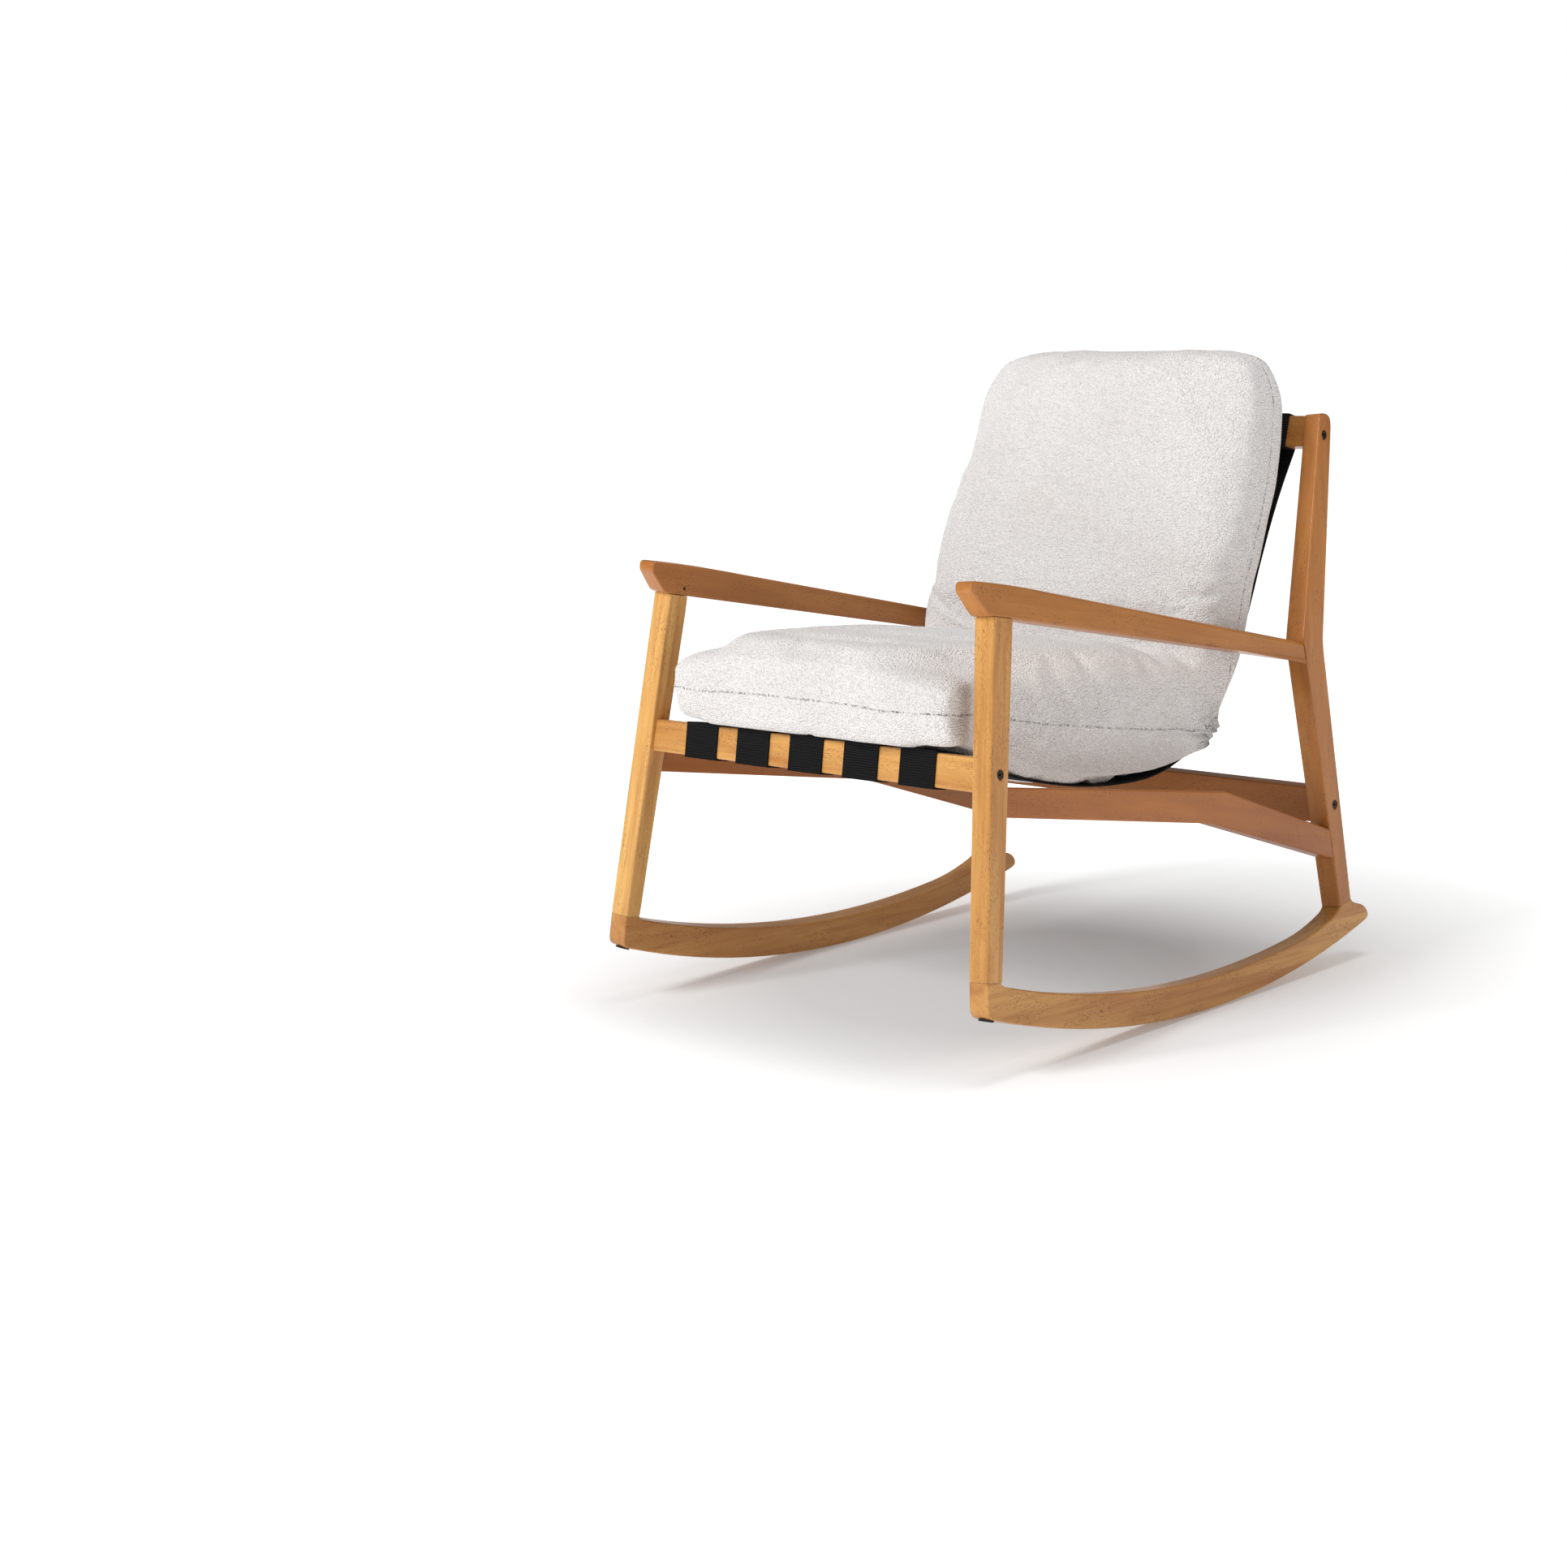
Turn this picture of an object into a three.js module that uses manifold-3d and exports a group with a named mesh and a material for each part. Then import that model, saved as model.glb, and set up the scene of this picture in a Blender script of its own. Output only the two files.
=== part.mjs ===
// A beech rocking chair for a nursery: two splayed side frames on curved rockers, three cross rails,
// five webbing straps slung between the front and top rails, and one loose cushion lying in the sling.
//
// Millimetres, +Z up, the front of the chair towards -Y. The origin is on the floor, under the middle
// of the chair's overall box.
//
// A side frame is drawn flat, as [back, up]: "back" runs to the rear from the front of the leg's foot
// and "up" runs along the splayed frame from the bottom of the rocker. The drawn chair is then tipped
// back on its rockers to where it balances by itself.

import * as THREE from "three";
import { mergeVertices } from "three/addons/utils/BufferGeometryUtils.js";
import Module from "manifold-3d";

const wasm = await Module();
wasm.setup();

// Driving dimensions
const GAP = 0.3; // clearance left at every joint
const SPLAY = THREE.MathUtils.degToRad(4.94); // each side frame leans in by this much
const FRAME_INSET = 324; // from the middle of the chair to a side frame's inner face, at the floor
const TIMBER = 32; // thickness of a leg, post or rocker
const ARM_TIMBER = 31;
const SIDE_RAIL_TIMBER = 26;
const FACE_INSET = 0.5; // the arm and side rail lie this far inside the frame's outer face
const BALANCE_TILT = THREE.MathUtils.degToRad(2.6); // how far the drawn chair tips back at rest
const CONTACT_BEHIND_MIDDLE = 45.57; // from the middle of the chair back to where the rockers touch

const ROCKER_RADIUS = 1445; // underside of the rocker
const ROCKER_LOW = 420; // how far back the drawn rocker is lowest
const ROCKER_TOP_RADIUS = 1600;
const ROCKER_TOP_LOW = [450, 43.3]; // lowest point of the rocker's top edge
const FACET = THREE.MathUtils.degToRad(1.4); // one straight step of the rocker's underside

// Cross rails: the middle of the section, its size, how far its top leans back, and the bolts' place
const FRONT_RAIL = { back: 48.8, height: 363, thick: 26, tall: 44.5, tilt: 6.45, bolt: [46.5, 365.5] };
const STRETCHER = { back: 794.5, height: 247.5, thick: 21, tall: 52, tilt: -8.6, bolt: [794.5, 247] };
const TOP_RAIL = { back: 822, height: 781, thick: 24, tall: 45, tilt: 13, bolt: [819, 779] };
const POST_TAPER = { from: 494, to: 811, depth: 5.5 }; // the outer face leans in above the arm

const STRAPS = 5;
const STRAP_WIDTH = 60;
const STRAP_PITCH = 98.5;
const STRAP_THICK = 2.2;

const CUSHION_WIDTH = 490;

const BOLT = { shank: 3, length: 58, head: 6.6, headDeep: 3, recess: 1, socket: 2.4, socketDeep: 2 };
const NUT = { radius: 5, length: 16, depthInRail: 20, recess: 1 };
const DOWEL = { radius: 4, length: 28 };
const ARM_SCREW = { back: 79, up: 570, shank: 1.6, head: 2.4, headDeep: 1.2, length: 22, recess: 0.6 };
const PAD = { back: 11, radius: 10, thick: 2 };

const ROUND_SIDES = 20;

// Materials
const beech = { color: 0xb9793f, roughness: 0.42, metalness: 0 };
const webbing = { color: 0x17171a, roughness: 0.85, metalness: 0 };
const cloth = { color: 0xe2dedb, roughness: 0.95, metalness: 0 };
const bronze = { color: 0x241c17, roughness: 0.38, metalness: 0.85 };
const steel = { color: 0x8f9296, roughness: 0.35, metalness: 1 };
const rubber = { color: 0x101010, roughness: 0.8, metalness: 0 };

function mesh(name, geometry, finish) {
  const made = new THREE.Mesh(geometry, new THREE.MeshStandardMaterial(finish));
  made.name = name;
  return made;
}

// Solids: cutting and joining

function solidOf(geometry) {
  const bare = geometry.clone();
  bare.deleteAttribute("normal");
  bare.deleteAttribute("uv");
  const merged = mergeVertices(bare, 1e-4);
  return new wasm.Manifold(
    new wasm.Mesh({
      numProp: 3,
      vertProperties: new Float32Array(merged.attributes.position.array),
      triVerts: new Uint32Array(merged.index.array),
    }),
  );
}

function geometryOf(solid) {
  const found = solid.getMesh();
  const geometry = new THREE.BufferGeometry();
  geometry.setAttribute("position", new THREE.BufferAttribute(found.vertProperties, 3));
  geometry.setIndex(new THREE.BufferAttribute(found.triVerts, 1));
  geometry.computeVertexNormals();
  return geometry;
}

function cut(geometry, tools) {
  let solid = solidOf(geometry);
  for (const tool of tools) {
    solid = solid.subtract(solidOf(tool));
  }
  return geometryOf(solid);
}

function moved(geometry, matrix) {
  return geometry.clone().applyMatrix4(matrix);
}

// A round bar from one point to another.
function bar(from, to, radius, sides = ROUND_SIDES) {
  const start = new THREE.Vector3(...from);
  const along = new THREE.Vector3(...to).sub(start);
  const turn = new THREE.Quaternion().setFromUnitVectors(
    new THREE.Vector3(0, 1, 0),
    along.clone().normalize(),
  );
  const geometry = new THREE.CylinderGeometry(radius, radius, along.length(), sides);
  geometry.applyQuaternion(turn);
  geometry.translate(...start.addScaledVector(along, 0.5));
  return geometry;
}

// Flat drawing of a side frame: lines, where they meet, and lines moved to leave a gap

const line = (from, to) => ({ from, to });

function shifted({ from, to }, distance) {
  const back = to[0] - from[0];
  const up = to[1] - from[1];
  const scale = distance / Math.hypot(back, up);
  const step = [-up * scale, back * scale];
  return line([from[0] + step[0], from[1] + step[1]], [to[0] + step[0], to[1] + step[1]]);
}

function meet(a, b) {
  const da = [a.to[0] - a.from[0], a.to[1] - a.from[1]];
  const db = [b.to[0] - b.from[0], b.to[1] - b.from[1]];
  const between = [b.from[0] - a.from[0], b.from[1] - a.from[1]];
  const along = (between[0] * db[1] - between[1] * db[0]) / (da[0] * db[1] - da[1] * db[0]);
  return [a.from[0] + da[0] * along, a.from[1] + da[1] * along];
}

const legFront = line([0, 107.4], [51.5, 564]);
const legRear = line([27, 103.9], [87.5, 558]);
const heelTop = line([0, 107.4], [27, 103.9]);
const armUnder = line([51.5, 564], [736, 460.7]);
const armTop = line([200, 583], [734, 488.5]);
const postKink = line([741, 460], [735.5, 488.5]);
const postFrontLow = line([741, 460], [796, 97]);
const postFrontHigh = line([735.5, 488.5], [811, 803]);
const postRearLow = line([788, 452], [826, 106]);
const postRearHigh = line([786, 492], [839, 791]);
const padTop = line([796, 97], [826, 106]);
const sideRailTop = line([60, 348.5], [528, 294]);
const sideRailTopRear = line([528, 294], [770, 216]);
const sideRailUnder = line([56, 310], [495, 253]);
const sideRailUnderRear = line([495, 253], [775, 172]);

// Extrudes a flat [back, up] outline through the side frame's thickness.
const FLAT_TO_FRAME = new THREE.Matrix4().makeBasis(
  new THREE.Vector3(0, 1, 0),
  new THREE.Vector3(0, 0, 1),
  new THREE.Vector3(1, 0, 0),
);

function board(shape, thickness = TIMBER, fromOuterFace = 0) {
  const geometry = new THREE.ExtrudeGeometry(shape, {
    depth: thickness,
    bevelEnabled: false,
    curveSegments: 5,
  });
  geometry.translate(0, 0, TIMBER - thickness - fromOuterFace);
  return geometry.applyMatrix4(FLAT_TO_FRAME);
}

function outline(points) {
  return new THREE.Shape(points.map(([back, up]) => new THREE.Vector2(back, up)));
}

// Height of a large arc at a distance back, for an arc whose lowest point is given.
function arcHeight(back, [lowBack, lowUp], radius) {
  return lowUp + radius - Math.sqrt(radius ** 2 - (back - lowBack) ** 2);
}

const rockerBottom = (back) => arcHeight(back, [ROCKER_LOW, 0], ROCKER_RADIUS);
const rockerTop = (back) => arcHeight(back, ROCKER_TOP_LOW, ROCKER_TOP_RADIUS);

function rockerShape() {
  const heelRear = 40;
  const padStart = 700;
  const steps = 24;
  const shape = new THREE.Shape();
  shape.moveTo(...heelTop.from);
  shape.lineTo(-2, 74);
  shape.quadraticCurveTo(-2, 63, 8, rockerBottom(8));
  for (let i = 0; i <= steps; i++) {
    const turn = BALANCE_TILT + (i - steps / 2 - 1.5) * FACET;
    shape.lineTo(
      ROCKER_LOW + ROCKER_RADIUS * Math.sin(turn),
      ROCKER_RADIUS * (1 - Math.cos(turn)),
    );
  }
  shape.lineTo(860, rockerBottom(860));
  shape.quadraticCurveTo(871, 72, 870, 78);
  shape.quadraticCurveTo(866, 92, 845, 96);
  shape.quadraticCurveTo(831, 99, ...padTop.to);
  shape.lineTo(...padTop.from);
  shape.quadraticCurveTo(793, 92, 786, 88.5);
  shape.quadraticCurveTo(745, 70.5, padStart, rockerTop(padStart));
  for (let i = 1; i < 20; i++) {
    const back = padStart + ((heelRear - padStart) * i) / 20;
    shape.lineTo(back, rockerTop(back));
  }
  shape.lineTo(heelRear, rockerTop(heelRear));
  shape.quadraticCurveTo(30, 99, ...heelTop.to);
  shape.closePath();
  return shape;
}

function legShape() {
  const bottom = shifted(heelTop, GAP);
  const top = shifted(armUnder, -GAP);
  return outline([
    meet(legFront, bottom),
    meet(legRear, bottom),
    meet(legRear, top),
    meet(legFront, top),
  ]);
}

function postShape() {
  const bottom = shifted(padTop, GAP);
  const shape = new THREE.Shape();
  shape.moveTo(...meet(postFrontLow, bottom));
  shape.lineTo(...meet(postRearLow, bottom));
  shape.lineTo(...postRearLow.from);
  shape.quadraticCurveTo(784.5, 477, ...postRearHigh.from);
  shape.lineTo(...postRearHigh.to);
  shape.quadraticCurveTo(841.5, 810, 822, 810);
  shape.lineTo(814, 809.5);
  shape.quadraticCurveTo(810, 809, ...postFrontHigh.to);
  shape.lineTo(...postKink.to);
  shape.lineTo(...postKink.from);
  shape.closePath();
  return shape;
}

function armShape() {
  const rear = shifted(postKink, GAP);
  const shape = new THREE.Shape();
  shape.moveTo(...meet(armUnder, rear));
  shape.lineTo(...meet(armTop, rear));
  shape.lineTo(...armTop.from);
  shape.quadraticCurveTo(100, 601.8, 24, 610);
  shape.quadraticCurveTo(16, 610.5, 16, 603);
  shape.lineTo(16, 597);
  shape.lineTo(38, 570.5);
  shape.quadraticCurveTo(42, 565.4, ...armUnder.from);
  shape.closePath();
  return shape;
}

function sideRailShape() {
  const front = shifted(legRear, -GAP);
  const rear = shifted(postFrontLow, -GAP);
  const shape = new THREE.Shape();
  shape.moveTo(...meet(sideRailUnder, front));
  shape.lineTo(...sideRailUnder.to);
  shape.lineTo(...meet(sideRailUnderRear, rear));
  shape.lineTo(...meet(sideRailTopRear, rear));
  shape.lineTo(...sideRailTop.to);
  shape.lineTo(...meet(sideRailTop, front));
  shape.closePath();
  return shape;
}

// Fasteners, in a side frame's own space: x runs out through the frame, then back, then up

const MIDDLE = TIMBER / 2;

// The depth of the post's outer face below the frame's, at a height on the drawing.
const taperAt = (up) =>
  Math.max(0, (POST_TAPER.depth * (up - POST_TAPER.from)) / (POST_TAPER.to - POST_TAPER.from));

// What the taper takes off the outside of a post.
function taperCut() {
  const { from, to, depth } = POST_TAPER;
  const above = 2 * to - from;
  const wedge = outline([
    [TIMBER, from],
    [TIMBER + depth, from],
    [TIMBER + depth, above],
    [TIMBER - 2 * depth, above],
  ]);
  const length = 200;
  const geometry = new THREE.ExtrudeGeometry(wedge, { depth: length, bevelEnabled: false });
  geometry.rotateX(Math.PI / 2);
  return geometry.translate(0, TOP_RAIL.back + length / 2, 0);
}

function boltGeometry({ bolt }) {
  const top = TIMBER - taperAt(bolt[1]) - BOLT.recess;
  const head = bar([top - BOLT.headDeep, ...bolt], [top, ...bolt], BOLT.head, 24);
  const shank = bar([top - BOLT.length, ...bolt], [top - 1, ...bolt], BOLT.shank);
  const socket = bar([top - BOLT.socketDeep, ...bolt], [top + 1, ...bolt], BOLT.socket, 6);
  return geometryOf(solidOf(head).add(solidOf(shank)).subtract(solidOf(socket)));
}

function boltHole({ bolt }) {
  const floor = TIMBER - taperAt(bolt[1]) - BOLT.recess - BOLT.headDeep - GAP;
  const wide = bar([floor, ...bolt], [TIMBER + 1, ...bolt], BOLT.head + GAP, 24);
  const narrow = bar([floor - BOLT.length, ...bolt], [TIMBER, ...bolt], BOLT.shank + 2 * GAP);
  return geometryOf(solidOf(wide).add(solidOf(narrow)));
}

// The barrel nut lies across the rail, with one end just inside the rail's rear face.
function nutBar(rail, front, rear, radius) {
  const angle = THREE.MathUtils.degToRad(rail.tilt);
  const end = (distance) => [
    -NUT.depthInRail,
    rail.bolt[0] + Math.cos(angle) * distance,
    rail.bolt[1] - Math.sin(angle) * distance,
  ];
  return bar(end(front), end(rear), radius);
}

// How far the rail's rear face lies behind the bolt's axis
const behindBolt = (rail) => rail.back - rail.bolt[0] + rail.thick / 2;

function nutGeometry(rail) {
  const rear = behindBolt(rail) - NUT.recess;
  const bore = bar(
    [-NUT.depthInRail - 12, ...rail.bolt],
    [-NUT.depthInRail + 12, ...rail.bolt],
    BOLT.shank + GAP,
  );
  return cut(nutBar(rail, rear - NUT.length, rear, NUT.radius), [bore]);
}

function nutHole(rail) {
  const rear = behindBolt(rail) - NUT.recess;
  return nutBar(rail, rear - NUT.length - GAP, rear + 6, NUT.radius + GAP);
}

// Dowels cross a joint line at its middle, square to it.
function dowelAcross({ from, to }, radius, length) {
  const middle = [(from[0] + to[0]) / 2, (from[1] + to[1]) / 2];
  const size = Math.hypot(to[0] - from[0], to[1] - from[1]);
  const square = [-(to[1] - from[1]) / size, (to[0] - from[0]) / size];
  const end = (way) => [
    MIDDLE,
    middle[0] + (way * square[0] * length) / 2,
    middle[1] + (way * square[1] * length) / 2,
  ];
  return bar(end(-1), end(1), radius, 16);
}

const dowelJoints = {
  leg_to_rocker: heelTop,
  post_to_rocker: padTop,
  arm_to_leg: line(meet(legFront, armUnder), meet(legRear, armUnder)),
  arm_to_post: line(meet(armUnder, postKink), meet(armTop, postKink)),
  rail_to_leg: line(meet(sideRailUnder, legRear), meet(sideRailTop, legRear)),
  rail_to_post: line(meet(sideRailUnderRear, postFrontLow), meet(sideRailTopRear, postFrontLow)),
};

const dowelHole = (joint) =>
  dowelAcross(dowelJoints[joint], DOWEL.radius + GAP, DOWEL.length + 2 * GAP);

function armScrewGeometry() {
  const { back, up, shank, head, headDeep, length, recess } = ARM_SCREW;
  const inner = FACE_INSET + recess;
  const top = bar([inner, back, up], [inner + headDeep, back, up], head, 16);
  const rod = bar([inner + 0.2, back, up], [inner + length, back, up], shank, 12);
  return geometryOf(solidOf(top).add(solidOf(rod)));
}

function armScrewHole() {
  const { back, up, shank, head, headDeep, length, recess } = ARM_SCREW;
  const inner = FACE_INSET + recess;
  const wide = bar([-1, back, up], [inner + headDeep + GAP, back, up], head + GAP, 16);
  const narrow = bar([0, back, up], [inner + length + GAP, back, up], shank + GAP, 12);
  return geometryOf(solidOf(wide).add(solidOf(narrow)));
}

function padGeometry() {
  const turn = Math.asin((PAD.back - ROCKER_LOW) / ROCKER_RADIUS);
  const outward = [Math.sin(turn), -Math.cos(turn)];
  const at = (distance) => [
    MIDDLE,
    ROCKER_LOW + (ROCKER_RADIUS + distance) * outward[0],
    ROCKER_RADIUS + (ROCKER_RADIUS + distance) * outward[1],
  ];
  return bar(at(GAP), at(GAP + PAD.thick), PAD.radius);
}

const rails = { front_rail: FRONT_RAIL, stretcher: STRETCHER, top_rail: TOP_RAIL };

// The meshes of one side frame, drawn for the right-hand side
function sideFrame(side) {
  const frame = new THREE.Group();
  const add = (name, geometry, finish) => frame.add(mesh(`${name}_${side}`, geometry, finish));

  add(
    "rocker",
    cut(board(rockerShape()), [dowelHole("leg_to_rocker"), dowelHole("post_to_rocker")]),
    beech,
  );
  add(
    "front_leg",
    cut(board(legShape()), [
      dowelHole("leg_to_rocker"),
      dowelHole("arm_to_leg"),
      dowelHole("rail_to_leg"),
      boltHole(FRONT_RAIL),
    ]),
    beech,
  );
  add(
    "rear_post",
    cut(board(postShape()), [
      dowelHole("post_to_rocker"),
      dowelHole("arm_to_post"),
      dowelHole("rail_to_post"),
      boltHole(STRETCHER),
      boltHole(TOP_RAIL),
      taperCut(),
    ]),
    beech,
  );
  add(
    "arm",
    cut(board(armShape(), ARM_TIMBER, FACE_INSET), [
      dowelHole("arm_to_leg"),
      dowelHole("arm_to_post"),
      armScrewHole(),
    ]),
    beech,
  );
  add(
    "side_rail",
    cut(board(sideRailShape(), SIDE_RAIL_TIMBER, FACE_INSET), [
      dowelHole("rail_to_leg"),
      dowelHole("rail_to_post"),
    ]),
    beech,
  );
  for (const [joint, joinLine] of Object.entries(dowelJoints)) {
    add(`${joint}_dowel`, dowelAcross(joinLine, DOWEL.radius, DOWEL.length), beech);
  }
  for (const [name, rail] of Object.entries(rails)) {
    add(`${name}_bolt`, boltGeometry(rail), bronze);
    add(`${name}_nut`, nutGeometry(rail), steel);
  }
  add("arm_screw", armScrewGeometry(), bronze);
  add("rocker_pad", padGeometry(), rubber);
  return frame;
}

// Places of the two side frames. The left one is the right one mirrored.
const rightPlace = new THREE.Matrix4()
  .makeTranslation(FRAME_INSET, 0, 0)
  .multiply(new THREE.Matrix4().makeRotationY(-SPLAY));
const leftPlace = new THREE.Matrix4().makeScale(-1, 1, 1).multiply(rightPlace);

// A cross rail, with its ends cut to the splay and holes for the bolts and barrel nuts at both ends
function crossRail(name, rail) {
  const angle = THREE.MathUtils.degToRad(rail.tilt);
  const halfTall = rail.tall / 2;
  const reach = (across) =>
    FRAME_INSET -
    (rail.height + across * Math.cos(angle)) * Math.tan(SPLAY) -
    GAP / Math.cos(SPLAY);
  const shape = outline([
    [-reach(-halfTall), -halfTall],
    [reach(-halfTall), -halfTall],
    [reach(halfTall), halfTall],
    [-reach(halfTall), halfTall],
  ]);
  const blank = new THREE.ExtrudeGeometry(shape, { depth: rail.thick, bevelEnabled: false });
  blank.translate(0, 0, -rail.thick / 2);
  const place = new THREE.Matrix4()
    .makeTranslation(0, rail.back, rail.height)
    .multiply(new THREE.Matrix4().makeRotationX(Math.PI / 2 - angle));
  const tools = [boltHole(rail), nutHole(rail)];
  const both = [rightPlace, leftPlace].flatMap((side) => tools.map((tool) => moved(tool, side)));
  return mesh(name, cut(blank.applyMatrix4(place), both.map(outwards)), beech);
}

// A mirrored tool has its faces turned in, so they are turned back.
function outwards(geometry) {
  const solid = solidOf(geometry);
  if (solid.volume() > 0) {
    return geometry;
  }
  const turned = geometry.index ? geometry.clone() : mergeVertices(geometry);
  const index = turned.index.array;
  for (let i = 0; i < index.length; i += 3) {
    [index[i + 1], index[i + 2]] = [index[i + 2], index[i + 1]];
  }
  return turned;
}

// The sling: a strap's middle line as [back, height], and the band around it

// Corners of a cross rail's section, in the order front-bottom, front-top, rear-top, rear-bottom
function railCorners(rail, proud) {
  const angle = THREE.MathUtils.degToRad(rail.tilt);
  const out = rail.thick / 2 + proud;
  const up = rail.tall / 2 + proud;
  return [
    [-out, -up],
    [-out, up],
    [out, up],
    [out, -up],
  ].map(([across, along]) => [
    rail.back + across * Math.cos(angle) + along * Math.sin(angle),
    rail.height - across * Math.sin(angle) + along * Math.cos(angle),
  ]);
}

// The strap hangs in the sling along these points, from behind the front rail to below the top rail.
const slingPoints = [
  [90, 379.5],
  [150, 353],
  [240, 329],
  [330, 313.5],
  [420, 307],
  [510, 312],
  [590, 341],
  [657, 407],
  [711, 501],
  [747, 590],
  [775, 655],
  [801, 706],
];

function strapMiddle() {
  const proud = GAP + STRAP_THICK / 2;
  const front = railCorners(FRONT_RAIL, proud);
  const top = railCorners(TOP_RAIL, proud);
  const sling = new THREE.SplineCurve([
    new THREE.Vector2(...front[2]),
    ...slingPoints.map((point) => new THREE.Vector2(...point)),
    new THREE.Vector2(...top[3]),
  ]);
  const hanging = sling.getSpacedPoints(38).map(({ x, y }) => [x, y]);
  const underFront = [front[0], front[3]].map((corner) => [...corner]);
  underFront[1][0] -= 4;
  const underTop = [top[0], top[3]].map((corner) => [...corner]);
  const tuck = [
    underTop[0][0] + (underTop[1][0] - underTop[0][0]) * 0.72,
    underTop[0][1] + (underTop[1][1] - underTop[0][1]) * 0.72,
  ];
  return [underFront[1], front[0], front[1], ...hanging, top[2], top[1], top[0], tuck];
}

// Moves a line of points sideways by a distance, mitred at each corner.
function beside(points, distance) {
  return points.map((point, i) => {
    const before = points[Math.max(i - 1, 0)];
    const after = points[Math.min(i + 1, points.length - 1)];
    const unit = (from, to) => {
      const size = Math.hypot(to[0] - from[0], to[1] - from[1]) || 1;
      return [(to[0] - from[0]) / size, (to[1] - from[1]) / size];
    };
    const into = i > 0 ? unit(before, point) : unit(point, after);
    const out = i < points.length - 1 ? unit(point, after) : into;
    const sum = [into[0] + out[0], into[1] + out[1]];
    const size = Math.hypot(...sum);
    const mitre = (2 * distance) / size ** 2;
    return [point[0] - sum[1] * mitre, point[1] + sum[0] * mitre];
  });
}

function strapGeometry() {
  const middle = strapMiddle();
  const outer = beside(middle, STRAP_THICK / 2);
  const inner = beside(middle, -STRAP_THICK / 2);
  return crossBoard(outline([...outer, ...inner.reverse()]), STRAP_WIDTH);
}

// Extrudes a flat [back, height] outline across the chair, centred on x = 0.
function crossBoard(shape, width, curveSegments = 8) {
  const geometry = new THREE.ExtrudeGeometry(shape, {
    depth: width,
    bevelEnabled: false,
    curveSegments,
  });
  geometry.translate(0, 0, -width / 2);
  return geometry.applyMatrix4(FLAT_TO_FRAME);
}

// The cushion: a seat half on the sling and a back half against it

function seatCushionShape() {
  const shape = new THREE.Shape();
  shape.moveTo(2, 405);
  shape.lineTo(30, 395);
  shape.lineTo(66, 395);
  shape.lineTo(93, 387);
  shape.splineThru(
    [
      [150, 362],
      [240, 338],
      [330, 322],
      [420, 315],
      [505, 320],
      [560, 336],
    ].map((point) => new THREE.Vector2(...point)),
  );
  shape.lineTo(548, 472);
  shape.splineThru(
    [
      [470, 485],
      [380, 497],
      [280, 505],
      [190, 507],
      [90, 499],
      [30, 482],
      [3, 455],
    ].map((point) => new THREE.Vector2(...point)),
  );
  shape.closePath();
  return shape;
}

function backCushionShape() {
  const shape = new THREE.Shape();
  shape.moveTo(565, 344);
  shape.splineThru(
    [
      [600, 362],
      [645, 407],
      [697, 490],
      [731, 572],
      [757, 640],
      [785, 705],
      [796, 760],
      [798, 805],
    ].map((point) => new THREE.Vector2(...point)),
  );
  shape.splineThru(
    [
      [790, 850],
      [770, 885],
      [738, 893],
      [710, 875],
      [688, 830],
      [662, 750],
      [635, 660],
      [600, 560],
      [552, 476],
    ].map((point) => new THREE.Vector2(...point)),
  );
  shape.closePath();
  return shape;
}

// The chair

const drawn = new THREE.Group();

for (const [side, place] of [
  ["right", rightPlace],
  ["left", leftPlace],
]) {
  const frame = sideFrame(side);
  frame.applyMatrix4(place);
  drawn.add(frame);
}

drawn.add(crossRail("front_seat_rail", FRONT_RAIL));
drawn.add(crossRail("rear_stretcher", STRETCHER));
drawn.add(crossRail("top_back_rail", TOP_RAIL));

for (let i = 0; i < STRAPS; i++) {
  const strap = mesh(`sling_strap_${i + 1}`, strapGeometry(), webbing);
  strap.position.x = (i - (STRAPS - 1) / 2) * STRAP_PITCH;
  drawn.add(strap);
}

drawn.add(mesh("seat_cushion", crossBoard(seatCushionShape(), CUSHION_WIDTH, 3), cloth));
drawn.add(mesh("back_cushion", crossBoard(backCushionShape(), CUSHION_WIDTH, 3), cloth));

// Rolls the drawn chair back about the middle of the rockers' arc, which stays at its height.
const arcHeightAboveFloor = ROCKER_RADIUS * Math.cos(SPLAY);
const arcMiddle = new THREE.Vector3(0, ROCKER_LOW, arcHeightAboveFloor);
drawn.rotation.x = -BALANCE_TILT;
drawn.position
  .set(0, CONTACT_BEHIND_MIDDLE, arcHeightAboveFloor)
  .sub(arcMiddle.applyEuler(drawn.rotation));

const chair = new THREE.Group();
chair.add(drawn);

export default chair;
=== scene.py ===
"""A beech rocking chair with a webbing sling and a loose cushion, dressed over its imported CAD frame.

Metres, +Z up, the front of the chair towards -Y. Shapes that the frame doesn't give are drawn
upright, as (x, back, height) in millimetres, and `tipped` puts them where the chair balances.
"""

import math

import bmesh
import bpy
import numpy as np
from mathutils import Euler, Matrix, Vector
from mathutils.bvhtree import BVHTree


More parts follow.
